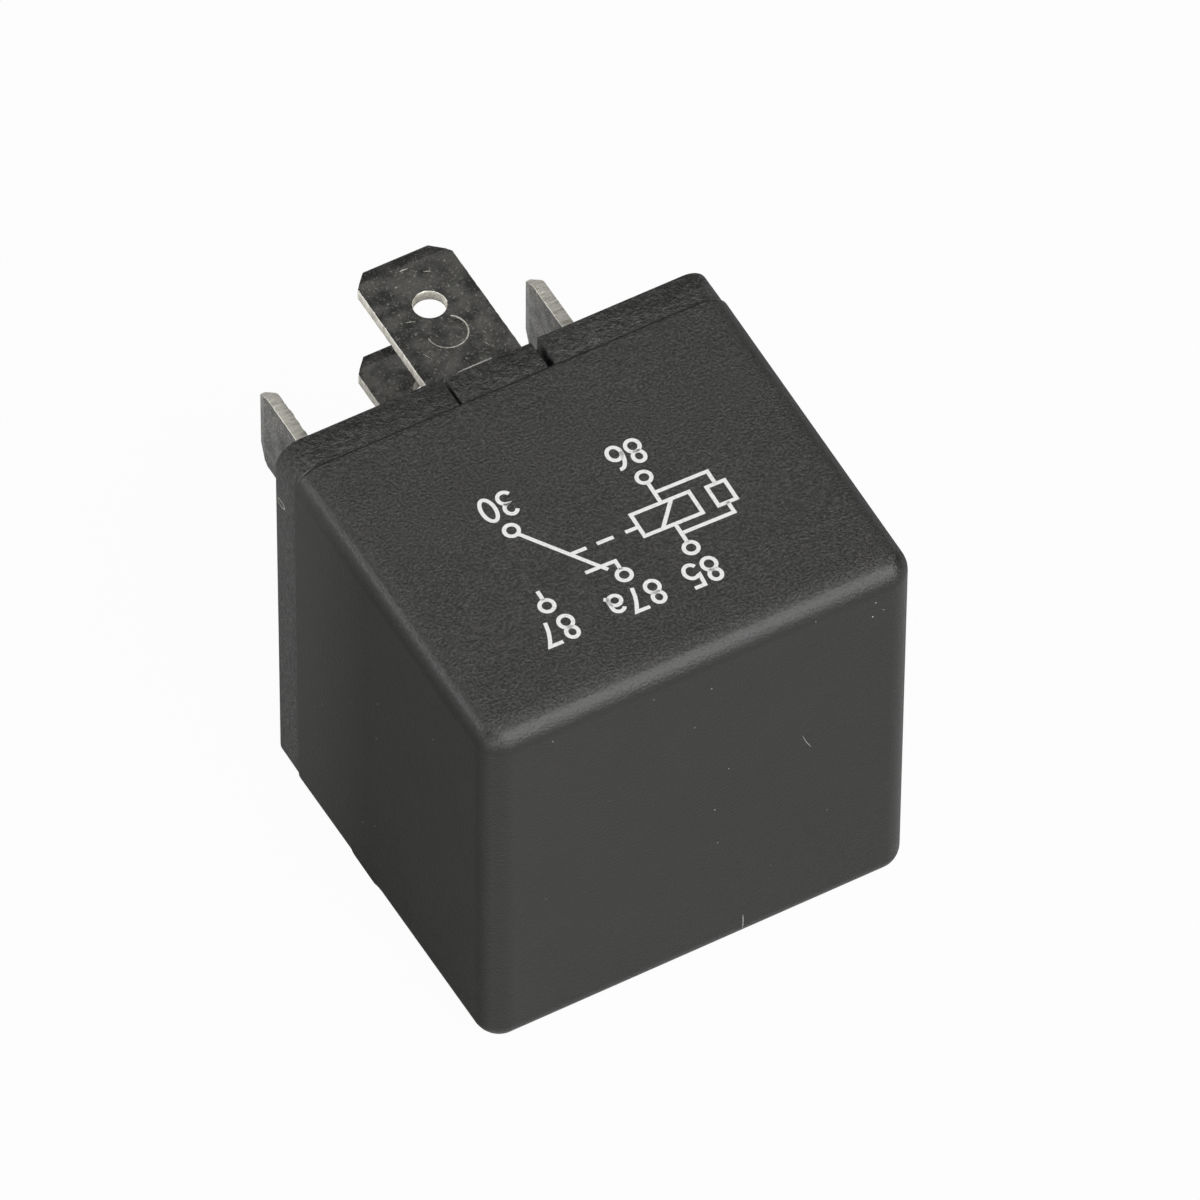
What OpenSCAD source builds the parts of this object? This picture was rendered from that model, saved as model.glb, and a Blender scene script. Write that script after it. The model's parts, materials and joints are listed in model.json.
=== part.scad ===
// Plug-in changeover relay for a vehicle, with five flat blade terminals.
// Every module draws its piece as the relay stands on its terminals: x to the right
// and y to the back as seen from the printed front, z up from the underside of the base.
// lay() turns the whole relay onto its back, front up and terminals towards +Y.

/* [Cover] */
// Width of the cover at its open end
cover_w = 28.4; // [28.2:0.1:30]
// Depth of the cover from front to back at its open end
cover_d = 28.8; // [28.6:0.1:30]
// Height of the cover above the base flange
cover_h = 22.55; // [22.3:0.05:25]
// Thickness of the side walls
cover_wall = 1.2; // [0.9:0.05:1.3]
// Thickness of the closed end
cover_top = 1.3; // [1:0.05:1.6]
// How far each side leans in over its height
draft = 0.21; // [0.05:0.01:0.35]
// Radius of the edges round the closed end
top_edge_r = 1.7; // [1.2:0.1:2.2]
// Radius of the four upright edges
side_edge_r = 1.6; // [1.2:0.1:2.2]

/* [Base] */
// Thickness of the flange that closes the cover
flange_t = 2.25; // [1.6:0.05:2.6]
// How far the flange stands back from the edge of the cover
flange_inset = 0.08; // [0:0.01:0.2]
// How far the plug reaches into the cover
plug_h = 2.25; // [2.1:0.05:3]
// Gap between the plug and the cover
plug_gap = 0.1; // [0.05:0.01:0.2]
// Width of the tongue in the front of the flange
tongue_w = 5.6; // [4:0.1:8]
// How far the tongue sits to the right of the middle
tongue_x = 0.35; // [0:0.05:0.6]
// How far the tongue stops short of the underside
tongue_setback = 0.15; // [0.1:0.05:0.6]
// Width of the narrow slit beside the tongue
slit_w = 0.2; // [0.1:0.05:0.4]
// Width of the open slot beside the tongue
slot_w = 0.5; // [0.3:0.05:0.9]
// Depth of the slit and the slot
slot_depth = 1; // [0.6:0.1:1.4]
// Depth of the wells round the terminals in the underside
well_depth = 0.6; // [0.3:0.1:1]

/* [Terminals] */
// Width of a blade
blade_w = 6.3; // [6.1:0.05:6.5]
// Thickness of a blade
blade_t = 0.8; // [0.7:0.05:0.9]
// Length of a blade below the base
blade_l = 11.6; // [9:0.1:13]
// Length of the slanted corners at a blade's tip
blade_corner_l = 1.2; // [0.6:0.1:1.6]
// Width of the slanted corners at a blade's tip
blade_corner_w = 1; // [0.5:0.1:1.5]
// Length of the bevel on both faces of a blade's tip
tip_bevel_l = 0.9; // [0.4:0.1:1.4]
// Thickness left at the very tip of a blade
tip_t = 0.35; // [0.2:0.05:0.6]
// Diameter of the detent hole in a blade
blade_hole_d = 2; // [1.6:0.1:2.3]
// Distance of the detent hole from the tip
blade_hole_l = 4.15; // [3.5:0.05:5]
// Distance between the two coil terminals
coil_pitch = 17.6; // [17.2:0.1:18]
// How far the coil terminals sit in front of the centre
coil_blade_y = 1.8; // [1.6:0.1:2.4]
// How far the normally open terminal sits in front of the centre
no_blade_y = 10.8; // [10.7:0.05:11]
// How far the normally closed terminal sits in front of the centre
nc_blade_y = 3.15; // [3.1:0.05:3.4]
// How far the common terminal sits behind the centre
common_blade_y = 6.6; // [6.4:0.1:6.8]

/* [Magnet] */
// Diameter of the iron core
core_d = 6; // [5:0.1:6.4]
// Diameter of the pole plate on the core
pole_d = 9.2; // [8:0.1:10]
// Thickness of the pole plate
pole_t = 1.15; // [0.8:0.05:1.4]
// Height of the winding
winding_h = 8; // [7.6:0.1:8.2]
// Outer diameter of the winding
winding_d = 12.8; // [10.5:0.1:13.2]
// Side of the square bobbin flanges
bobbin_w = 14; // [13.6:0.1:14.2]
// Thickness of the bobbin flanges
bobbin_flange_t = 1; // [0.8:0.05:1.1]
// Thickness of the bobbin's tube
bobbin_wall = 0.55; // [0.4:0.05:0.7]
// Thickness of the yoke
yoke_t = 1.6; // [1.4:0.05:1.7]
// Width of the yoke
yoke_w = 15; // [14.6:0.1:15.2]
// Height of the two ears that guide the armature
ear_h = 1.7; // [1.3:0.1:2]
// Thickness of the armature
armature_t = 1.2; // [1:0.05:1.3]
// Width of the armature over the pole plate
armature_w = 13.6; // [12.6:0.1:14]
// How far the armature reaches in front of the core's axis
armature_reach = 5.6; // [5.2:0.1:5.8]
// Gap that stays between the armature and the pole plate
air_gap = 0.05; // [0.03:0.01:0.1]

/* [Contacts] */
// Travel of the moving contact
contact_travel = 1; // [0.7:0.05:1.1]
// Diameter of the contact heads
contact_d = 3; // [2.4:0.1:3.2]
// Height of a fixed contact's head
fixed_head_h = 0.8; // [0.6:0.05:0.9]
// Height of a moving contact's head
moving_head_h = 0.65; // [0.5:0.05:0.8]
// Height of the dome on a moving contact's head
dome_h = 0.12; // [0.08:0.01:0.2]
// Diameter of the contact shanks
shank_d = 1.5; // [1.2:0.1:1.7]
// Thickness of the leaf spring
leaf_t = 0.25; // [0.15:0.05:0.35]
// Width of the leaf spring where it lies on the armature
leaf_w = 9; // [8.6:0.1:9.6]
// Distance from the normally open blade to the contact's centre
contact_reach = 1.8; // [1.7:0.05:2]
// Width of the bent strip that carries the normally closed contact
strip_w = 3.6; // [3.2:0.1:3.8]

/* [Spring and wires] */
// Wire diameter of the return spring
spring_wire_d = 0.36; // [0.3:0.02:0.4]
// Mean radius of the return spring's turns
spring_r = 1.15; // [1.05:0.05:1.25]
// Turns of the return spring
spring_turns = 10; // [7:1:11]
// Thickness of the copper braid
braid_d = 1.3; // [1:0.1:1.5]
// Thickness of the coil's lead wires
lead_d = 0.28; // [0.2:0.02:0.34]
// Diameter of the suppression resistor
resistor_d = 2.3; // [1.8:0.1:2.4]
// Length of the suppression resistor
resistor_l = 6.2; // [5.5:0.1:6.6]
// Thickness of the resistor's wires
resistor_wire_d = 0.55; // [0.45:0.05:0.6]

/* [Hidden] */

$fn = 64;
fit = 0.02;       // gap between pieces that touch
thin = 0.01;      // thickness of a slice inside a hull
through = 1;      // how far a cut runs past the face that it leaves
press = 0.03;     // gap on each side of a terminal in its slot
well_rim = 0.7;   // width of the well round a blade
close_fit = 0.1;  // play between a turned part and its bore, across the diameter

// Outline of the cover and of the plug inside it
inner_w = cover_w - 2 * cover_wall;
inner_d = cover_d - 2 * cover_wall;
inner_edge_r = max(side_edge_r - cover_wall, 0.4);
flange_w = cover_w - 2 * flange_inset;
flange_d = cover_d - 2 * flange_inset;
plug_w = inner_w - 2 * plug_gap;
plug_d = inner_d - 2 * plug_gap;
plug_top = flange_t + plug_h;

// Snap noses on the plug and their pockets in the cover
nose_w = 4;
nose_h = 1.1;
nose_out = 0.3;
nose_root = 0.2;      // how deep a nose is rooted in the plug
nose_land = 0.3;      // flat on the front of a nose
nose_x = 7.5;
nose_z = flange_t + 0.5;

// Heights of the magnet system
yoke_floor = plug_top;
yoke_floor_top = yoke_floor + yoke_t;
bobbin_z = yoke_floor_top + fit;
winding_z = bobbin_z + bobbin_flange_t;
winding_top = winding_z + winding_h;
bobbin_top = winding_top + bobbin_flange_t;
pole_z = bobbin_top + fit;
pole_top = pole_z + pole_t;
yoke_top = pole_top + air_gap;
yoke_bend = 0.25;       // inner radius of the yoke's bend
yoke_front = bobbin_w / 2 + yoke_bend;
yoke_back = yoke_front + yoke_t;
stake_d = 4.6;          // lower end of the core, riveted through the yoke
stake_head_d = 5;
stake_head_h = 0.4;
peg_d = 1.6;            // pegs of the base that hold the yoke's foot
peg_x = 5.6;
peg_y = -2.2;
peg_short = 0.1;        // how far the pegs end below the top of the foot
foot_front = -4.6;      // front edge of the yoke's foot
foot_r = 2;
ear_w = 1.25;
tab_w = 2.2;            // tab of the common terminal, staked in the yoke's foot
tab_y = 5.3;

// Armature unit, given as it lies when the coil is energised
armature_z = yoke_top + fit;
leaf_z = armature_z + armature_t;
leaf_top = leaf_z + leaf_t;
contact_y = -(no_blade_y - contact_reach);
contact_lever = yoke_back - contact_y;
open_angle = asin(contact_travel / contact_lever);
leaf_back = 4.4;        // back edge of the leaf
leaf_root = -5;         // where the leaf starts to narrow towards its contact
leaf_edge = 0.3;        // leaf left round the contact head
rivet_x = 3;            // rivets that hold the leaf on the armature
rivet_y = -2;
rivet_d = 1.6;
rivet_short = 0.1;      // how far the rivets end above the underside of the armature
rivet_head_d = 2.6;
rivet_head_h = 0.5;
rivet_dome_h = 0.35;
dome_r = (pow(contact_d / 2, 2) + pow(dome_h, 2)) / (2 * dome_h);
moving_bottom = leaf_z - fit - moving_head_h;
moving_top = leaf_top + fit + moving_head_h;

// Levels of the two fixed contacts: the lower one meets the moving contact when the
// coil is energised, the upper one meets the dome of its upper head at rest
no_face = moving_bottom - fit;
dome_centre = moving_top - dome_r - yoke_top;
nc_face = yoke_top + dome_centre * cos(open_angle) + contact_lever * sin(open_angle)
    + dome_r + fit;
shelf_top = no_face - fixed_head_h - fit;
arm_z = nc_face + fixed_head_h + fit;
arm_top = arm_z + blade_t;

// Strip of the normally closed terminal, through the base and up the left side
channel_depth = 1.2;
channel_z = plug_top - channel_depth;
strip_x = coil_pitch / 2 + 1.5;
strip_bend = 0.4;
strip_y = -8.1;                 // middle of the strip where it crosses the base
floor_strip_w = 4.4;

// Return spring between the yoke's lug and the armature's tail, midway between the
// back of the yoke and the cover
spring_y = (yoke_back + inner_d / 2 - draft) / 2;
lug_t = 1;
lug_rise = 2.4;                 // height of the lug above the base
lug_z = plug_top + lug_rise;
neck_w = 1.2;
neck_l = 1;
head_w = 3;
head_l = 0.7;
hook_r = spring_r - 0.1;
hook_hold = hook_r - spring_wire_d / 2 - fit;
hook_sink = sqrt(pow(hook_hold, 2) - pow(neck_w / 2, 2));
hook_play = 0.15;               // lets the tail rise without lifting the hook
lower_hook_z = lug_z + hook_sink;
upper_hook_z = armature_z + armature_t - hook_sink + hook_play;
coil_z = lower_hook_z + hook_r;
coil_top = upper_hook_z - hook_r;

// Lugs of the coil terminals, with the wires that are soldered to them
lug_w = 2.3;
lug_h = 6;
lug_notch = 0.35;               // keeps the wrapped wire from slipping off
lug_notch_h = 1.6;
lug_front = -(coil_blade_y + blade_w / 2);
lug_in = coil_pitch / 2 - blade_t / 2;
resistor_y = -8.5;
resistor_rise = 3.9;
resistor_z = plug_top + resistor_rise;
wrap_z = resistor_z + 1;

// Braid from the top of the leaf out past the yoke's ear and down its side
braid_y = 3;
braid_lap = 2.2;                // length that lies on the leaf
braid_bow = 1.5;                // how far it bows out from the yoke
braid_drop = 12;                // how far it reaches down the yoke

// ---------------------------------------------------------------- shared shapes

// Turns the standing relay onto its back and centres it on its length
module lay() {
    translate([0, (flange_t + cover_h - blade_l) / 2, cover_d / 2])
        rotate([90, 0, 0])
            rotate([0, 0, 180])
                children();
}

// Turns the armature unit up to where the return spring holds it
module at_rest() {
    translate([0, yoke_back, yoke_top])
        rotate([-open_angle, 0, 0])
            translate([0, -yoke_back, -yoke_top])
                children();
}

// Rectangle with round corners, centred
module round_rect(w, d, r) {
    square([w - 2 * r, d], center = true);
    square([w, d - 2 * r], center = true);
    for (x = [-1, 1], y = [-1, 1])
        translate([x * (w / 2 - r), y * (d / 2 - r)])
            circle(r);
}

// Block that narrows towards its top and ends in a round edge
module drafted_block(w, d, h, lean, side_r, top_r) {
    step = 11.25;
    top_w = w - 2 * lean;
    top_d = d - 2 * lean;
    hull() {
        linear_extrude(thin)
            round_rect(w, d, side_r, $fn = 32);
        for (a = [0 : step : 90 - step])
            translate([0, 0, h - top_r * (1 - sin(a)) - thin])
                linear_extrude(thin)
                    round_rect(top_w - 2 * top_r * (1 - cos(a)), top_d - 2 * top_r * (1 - cos(a)),
                        max(side_r - top_r * (1 - cos(a)), 0.1), $fn = 32);
        translate([0, 0, h - thin])
            linear_extrude(thin)
                square([top_w - 2 * top_r, top_d - 2 * top_r], center = true);
    }
}

// Sheet profile with one bend, drawn from its outer corner at the origin: one leg runs
// along -x and one along -y
module bent_sheet(leg_x, leg_y, t, r) {
    outer = r + t;
    translate([-leg_x, -t])
        square([leg_x - outer, t]);
    translate([-t, -leg_y])
        square([t, leg_y - outer]);
    translate([-outer, -outer])
        difference() {
            intersection() {
                circle(outer);
                square(outer + thin);
            }
            circle(r);
        }
}

// Extrudes a profile drawn in y and z along x, centred
module along_x(w) {
    rotate([90, 0, 90])
        translate([0, 0, -w / 2])
            linear_extrude(w)
                children();
}

// Extrudes an outline drawn in x and z along y, between two places
module along_y(y0, y1) {
    translate([0, y1, 0])
        rotate([90, 0, 0])
            linear_extrude(y1 - y0)
                children();
}

// Tube through the points of a path, with its rings square to the path
module swept_tube(path, d, sides) {
    last = len(path) - 1;
    function unit(v) = v / norm(v);
    function heading(i) = unit(path[min(i + 1, last)] - path[max(i - 1, 0)]);
    function side(i) = unit(cross(heading(i), [0.13, 0.91, 0.37]));
    function up(i) = cross(side(i), heading(i));
    points = [
        for (i = [0 : last], k = [0 : sides - 1])
            path[i] + d / 2 * (cos(360 * k / sides) * side(i) + sin(360 * k / sides) * up(i))
    ];
    faces = concat(
        [[for (k = [0 : sides - 1]) sides - 1 - k]],
        [[for (k = [0 : sides - 1]) last * sides + k]],
        [
            for (i = [0 : last - 1], k = [0 : sides - 1])
                let (a = i * sides, b = a + sides, next = (k + 1) % sides)
                each [[a + k, a + next, b + next], [a + k, b + next, b + k]]
        ]
    );
    polyhedron(points, faces, convexity = 8);
}

// Front view of a blade with its slanted tip corners, from z = -blade_l up to top
module blade_outline(top) {
    half = blade_w / 2;
    polygon([
        [-half, top], [-half, blade_corner_l - blade_l],
        [blade_corner_w - half, -blade_l], [half - blade_corner_w, -blade_l],
        [half, blade_corner_l - blade_l], [half, top]
    ]);
}

// Edge view of a blade with its bevelled tip
module blade_profile(top) {
    half = blade_t / 2;
    polygon([
        [-half, top], [-half, tip_bevel_l - blade_l],
        [-tip_t / 2, -blade_l], [tip_t / 2, -blade_l],
        [half, tip_bevel_l - blade_l], [half, top]
    ]);
}

// Blade that faces the front, up to the height top, with its detent hole
module blade(top) {
    difference() {
        intersection() {
            along_y(-blade_t, blade_t)
                blade_outline(top);
            along_x(blade_w + through)
                blade_profile(top);
        }
        translate([0, blade_t, blade_hole_l - blade_l])
            rotate([90, 0, 0])
                cylinder(d = blade_hole_d, h = 2 * blade_t);
    }
}

// Slot through the base for a blade that faces the front, with a well in the underside
module blade_slot() {
    translate([-blade_w / 2 - press, -blade_t / 2 - press, -through])
        cube([blade_w + 2 * press, blade_t + 2 * press, plug_top + 2 * through]);
    translate([-blade_w / 2 - well_rim, -blade_t / 2 - well_rim, -through])
        cube([blade_w + 2 * well_rim, blade_t + 2 * well_rim, well_depth + through]);
}

// Rivet head with a low dome, standing on z = 0
module domed_head(d, h, dome) {
    r = (pow(d / 2, 2) + pow(dome, 2)) / (2 * dome);
    rotate_extrude()
        intersection() {
            square([d / 2, h]);
            translate([0, h - r])
                circle(r, $fn = 256);
        }
}

// Fixed contact rivet: head above z = 0, shank and closed head below the sheet
module contact_rivet() {
    edge = 0.15;
    neck = 0.1;
    closed_h = 0.3;
    closed_rim = 0.2;
    rotate_extrude()
        polygon([
            [0, fit], [0, fit + fixed_head_h], [contact_d / 2 - edge, fit + fixed_head_h],
            [contact_d / 2, fit + fixed_head_h - edge], [contact_d / 2, fit]
        ]);
    translate([0, 0, -blade_t - fit - neck])
        cylinder(d = shank_d, h = blade_t + 2 * fit + neck + thin);
    translate([0, 0, -blade_t - fit - closed_h])
        cylinder(d1 = shank_d, d2 = shank_d + 2 * closed_rim, h = closed_h);
}

// ---------------------------------------------------------------- housing

module cover() {
    color([0.17, 0.17, 0.17])
        translate([0, 0, flange_t])
            difference() {
                drafted_block(cover_w, cover_d, cover_h, draft, side_edge_r, top_edge_r);
                translate([0, 0, -thin])
                    drafted_block(inner_w, inner_d, cover_h - cover_top + thin, draft,
                        inner_edge_r, max(top_edge_r - cover_top, 0.4));
                for (x = [-1, 1], y = [-1, 1])
                    translate([x * nose_x, y * inner_d / 2, nose_z + nose_h / 2 - flange_t])
                        cube([nose_w + 2 * plug_gap, 2 * (nose_out + plug_gap), nose_h + 2 * plug_gap],
                            center = true);
            }
}

module base() {
    color([0.14, 0.14, 0.15])
        difference() {
            union() {
                linear_extrude(flange_t - fit)
                    round_rect(flange_w, flange_d, side_edge_r);
                linear_extrude(plug_top)
                    round_rect(plug_w, plug_d, inner_edge_r);
                for (x = [-1, 1], y = [0, 180])
                    rotate([0, 0, y])
                        translate([x * nose_x, 0, 0])
                            along_x(nose_w)
                                polygon([
                                    [plug_d / 2 - nose_root, nose_z],
                                    [plug_d / 2 + nose_out, nose_z],
                                    [plug_d / 2 + nose_out, nose_z + nose_land],
                                    [plug_d / 2 - nose_root, nose_z + nose_h]
                                ]);
                for (x = [-1, 1])
                    translate([x * peg_x, peg_y, 0])
                        cylinder(d = peg_d, h = yoke_floor_top - peg_short);
            }
            terminal_slots();
            strip_channel();
            tongue_cuts();
            // room for the riveted end of the core
            translate([0, 0, plug_top - stake_head_h - 2 * fit])
                cylinder(d = stake_head_d + 2 * close_fit, h = stake_head_h + through);
        }
}

module terminal_slots() {
    for (x = [-1, 1])
        translate([x * coil_pitch / 2, -coil_blade_y, 0])
            rotate([0, 0, 90])
                blade_slot();
    translate([0, -no_blade_y, 0])
        blade_slot();
    translate([0, -nc_blade_y, 0])
        blade_slot();
    translate([0, common_blade_y, 0])
        rotate([0, 0, 90])
            blade_slot();
}

// Channel in the top of the plug for the strip of the normally closed terminal
module strip_channel() {
    side = close_fit;
    front = strip_y - floor_strip_w / 2;
    translate([-blade_w / 2 - press, front - side, channel_z])
        cube([blade_w + side + 3 * press, blade_t / 2 - nc_blade_y - front + side + press,
            channel_depth + through]);
    translate([-strip_x - blade_t / 2 - side, front - side, channel_z])
        cube([strip_x + blade_t / 2 + side, floor_strip_w + 2 * side, channel_depth + through]);
    // relief under the bend where the blade turns into the channel
    translate([-blade_w / 2 - press, -nc_blade_y - blade_t / 2 - strip_bend, channel_z - strip_bend])
        cube([blade_w + 2 * press, strip_bend + press, strip_bend + through]);
}

// Slit and slot that free the tongue in the front of the flange
module tongue_cuts() {
    translate([tongue_x, -flange_d / 2 - through, -through]) {
        translate([tongue_w / 2, 0, 0])
            cube([slit_w, slot_depth + through, flange_t + through - fit]);
        translate([-tongue_w / 2 - slot_w, 0, 0])
            cube([slot_w, slot_depth + through, flange_t + through - fit]);
        translate([-tongue_w / 2 - slot_w, 0, 0])
            cube([tongue_w + slot_w + slit_w, slot_depth + through, tongue_setback + through]);
    }
}

// ---------------------------------------------------------------- terminals

module terminal_30() {
    color("silver") {
        translate([0, common_blade_y, 0])
            rotate([0, 0, 90])
                blade(plug_top - fit);
        translate([-blade_t / 2, tab_y - tab_w / 2, plug_top - fit - thin])
            cube([blade_t, tab_w, yoke_t]);
    }
}

// Coil terminal on the side given by x, with a lug that stands up beside the coil
module coil_terminal(x) {
    color("silver")
        difference() {
            union() {
                translate([x * coil_pitch / 2, -coil_blade_y, 0])
                    rotate([0, 0, 90])
                        blade(plug_top);
                translate([x * coil_pitch / 2 - blade_t / 2, lug_front, plug_top - thin])
                    cube([blade_t, lug_w, lug_h]);
            }
            translate([x * coil_pitch / 2 - blade_t, lug_front + lug_w - lug_notch,
                wrap_z - lug_notch_h / 2])
                cube([2 * blade_t, lug_notch + through, lug_notch_h]);
        }
}

module terminal_85() {
    coil_terminal(1);
}

module terminal_86() {
    coil_terminal(-1);
}

// Blade that goes straight up and bends back into the shelf of the lower contact
module terminal_87() {
    shelf_edge = 0.2;
    shelf_l = contact_reach + contact_d / 2 + shelf_edge;
    riser_w = 4.8;
    color("silver")
        difference() {
            union() {
                translate([0, -no_blade_y, 0])
                    blade(plug_top);
                along_x(riser_w)
                    mirror([1, 0, 0])
                        translate([no_blade_y + blade_t / 2, shelf_top])
                            bent_sheet(shelf_l + blade_t / 2, shelf_top - plug_top + thin,
                                blade_t, strip_bend);
            }
            translate([0, contact_y, shelf_top - blade_t - through])
                cylinder(d = shank_d + 2 * fit, h = blade_t + 2 * through);
        }
}

// Blade that bends into a channel in the base, runs to the left, rises beside the coil
// and reaches back over the moving contact
module terminal_87a() {
    color("silver") {
        nc_blade();
        difference() {
            intersection() {
                hook_strip();
                hook_outline();
            }
            translate([0, contact_y, arm_z - through])
                cylinder(d = shank_d + 2 * fit, h = blade_t + 2 * through);
        }
    }
}

// Blade with its bend into the channel. Its tongue is a hair thinner than the strip
// that it runs into, so that the two join cleanly
module nc_blade() {
    tongue_l = -strip_y - nc_blade_y + blade_t / 2;
    intersection() {
        along_x(blade_w) {
            translate([-nc_blade_y, 0])
                blade_profile(channel_z - strip_bend);
            translate([-nc_blade_y + blade_t / 2 - thin, channel_z + blade_t - thin])
                bent_sheet(tongue_l, blade_t + 2 * strip_bend, blade_t - 2 * thin,
                    strip_bend + thin);
        }
        along_y(strip_y - through, 0) {
            blade_outline(channel_z);
            translate([-blade_w / 2, channel_z - through])
                square([blade_w, blade_t + 2 * through]);
        }
        difference() {
            translate([0, -nc_blade_y, 0])
                cube(4 * blade_l, center = true);
            translate([0, blade_t - nc_blade_y, blade_hole_l - blade_l])
                rotate([90, 0, 0])
                    cylinder(d = blade_hole_d, h = 2 * blade_t);
        }
    }
}

// Hook seen from the front: along the base, up the left side and back over the middle
module hook_strip() {
    height = arm_top - channel_z;
    floor_l = strip_x + (blade_t + blade_w) / 2 + close_fit;
    arm_l = strip_x + blade_t / 2 + contact_d / 2 + leaf_edge;
    along_y(-cover_d / 2, 0)
        translate([-strip_x - blade_t / 2, channel_z]) {
            mirror([1, 0])
                translate([0, height])
                    bent_sheet(arm_l, height / 2, blade_t, strip_bend);
            mirror([1, 0])
                mirror([0, 1])
                    bent_sheet(floor_l, height / 2 + thin, blade_t, strip_bend);
        }
}

// Hook seen from the side: wide in the base, then a strip that steps forward
module hook_outline() {
    back = strip_y + floor_strip_w / 2;
    front = strip_y - floor_strip_w / 2;
    neck_z = plug_top + 1;      // where the wide part starts to narrow
    strip_z = neck_z + 1;
    step_z = plug_top + 5;
    step_l = 4;
    along_x(4 * strip_x)
        polygon([
            [front, channel_z - through], [back, channel_z - through],
            [back, neck_z], [strip_y + strip_w / 2, strip_z],
            [strip_y + strip_w / 2, step_z], [contact_y + strip_w / 2, step_z + step_l],
            [contact_y + strip_w / 2, arm_top + through], [contact_y - strip_w / 2, arm_top + through],
            [contact_y - strip_w / 2, step_z + step_l], [strip_y - strip_w / 2, step_z],
            [strip_y - strip_w / 2, strip_z], [front, neck_z]
        ]);
}

// ---------------------------------------------------------------- magnet

module yoke() {
    tab_gap = close_fit / 2;
    window_h = 3;
    color([0.62, 0.62, 0.6])
        difference() {
            union() {
                intersection() {
                    along_x(yoke_w)
                        mirror([0, 1])
                            translate([yoke_back, -yoke_floor])
                                bent_sheet(yoke_back - foot_front, yoke_top + ear_h - yoke_floor,
                                    yoke_t, yoke_bend);
                    yoke_outline();
                    linear_extrude(yoke_top + ear_h + through)
                        translate([0, (yoke_back + foot_front) / 2 + through / 2])
                            round_rect(yoke_w, yoke_back - foot_front + through, foot_r);
                }
                spring_lug();
            }
            // hole for the core, slot for the common terminal and holes for the pegs
            translate([0, 0, yoke_floor - through])
                cylinder(d = stake_d + 2 * fit, h = yoke_t + 2 * through);
            translate([-blade_t / 2 - tab_gap, tab_y - tab_w / 2 - tab_gap, yoke_floor - through])
                cube([blade_t + 2 * tab_gap, tab_w + 2 * tab_gap, yoke_t + through + thin]);
            for (x = [-1, 1])
                translate([x * peg_x, peg_y, yoke_floor - through])
                    cylinder(d = peg_d + 3 * fit, h = yoke_t + 2 * through);
            // window that the lug was bent out of
            translate([-head_w / 2 - close_fit, yoke_front - through, lug_z + lug_t])
                cube([head_w + 2 * close_fit, yoke_t + 2 * through, window_h]);
        }
}

// Front view of the yoke: an upright with an ear at each top corner
module yoke_outline() {
    along_y(-yoke_back - through, yoke_back + through)
        difference() {
            translate([-yoke_w / 2, yoke_floor - through])
                square([yoke_w, yoke_top + ear_h - yoke_floor + through]);
            translate([ear_w - yoke_w / 2, yoke_top])
                square([yoke_w - 2 * ear_w, ear_h + through]);
        }
}

// Flat piece with a neck and a wider head, running back from y = 0
module hook_neck(root_w, root_l) {
    translate([-root_w / 2, -thin])
        square([root_w, root_l + thin]);
    translate([-neck_w / 2, root_l - thin])
        square([neck_w, neck_l + 2 * thin]);
    translate([-head_w / 2, root_l + neck_l])
        square([head_w, head_l]);
}

module spring_lug() {
    root_l = spring_y - yoke_back - neck_l / 2;
    translate([0, yoke_back, lug_z])
        linear_extrude(lug_t)
            hook_neck(head_w, root_l);
}

module iron_core() {
    edge = 0.2;
    color([0.6, 0.6, 0.58]) {
        rotate_extrude()
            polygon([
                [0, pole_top], [pole_d / 2 - edge, pole_top], [pole_d / 2, pole_top - edge],
                [pole_d / 2, pole_z], [core_d / 2, pole_z], [core_d / 2, yoke_floor_top + fit],
                [stake_d / 2, yoke_floor_top + fit], [stake_d / 2, yoke_floor - fit],
                [stake_head_d / 2, yoke_floor - fit],
                [stake_head_d / 2 - edge, yoke_floor - stake_head_h], [0, yoke_floor - stake_head_h]
            ]);
    }
}

module bobbin() {
    bore_d = core_d + close_fit;
    tube_d = bore_d + 2 * bobbin_wall;
    corner_r = 2;
    notch_w = 1.6;
    notch_l = 0.9;
    notch_y = -5;
    color([0.75, 0.72, 0.62])
        difference() {
            union() {
                for (z = [bobbin_z, winding_top])
                    translate([0, 0, z])
                        linear_extrude(bobbin_flange_t)
                            round_rect(bobbin_w, bobbin_w, corner_r);
                translate([0, 0, bobbin_z])
                    cylinder(d = tube_d, h = bobbin_top - bobbin_z);
            }
            translate([0, 0, bobbin_z - through])
                cylinder(d = bore_d, h = bobbin_top - bobbin_z + 2 * through);
            // notches in the lower flange that lead the wire out
            for (x = [-1, 1])
                translate([x * bobbin_w / 2, notch_y, bobbin_z + bobbin_flange_t / 2])
                    cube([notch_w, notch_l, bobbin_flange_t + through], center = true);
        }
}

module coil_winding() {
    bore_d = core_d + close_fit + 2 * bobbin_wall + 2 * fit;
    crown = 0.25;
    color([0.72, 0.36, 0.18])
        rotate_extrude()
            polygon([
                [bore_d / 2, winding_z + fit], [winding_d / 2 - crown, winding_z + fit],
                [winding_d / 2, winding_z + 3 * crown], [winding_d / 2, winding_top - 3 * crown],
                [winding_d / 2 - crown, winding_top - fit], [bore_d / 2, winding_top - fit]
            ]);
}

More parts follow.
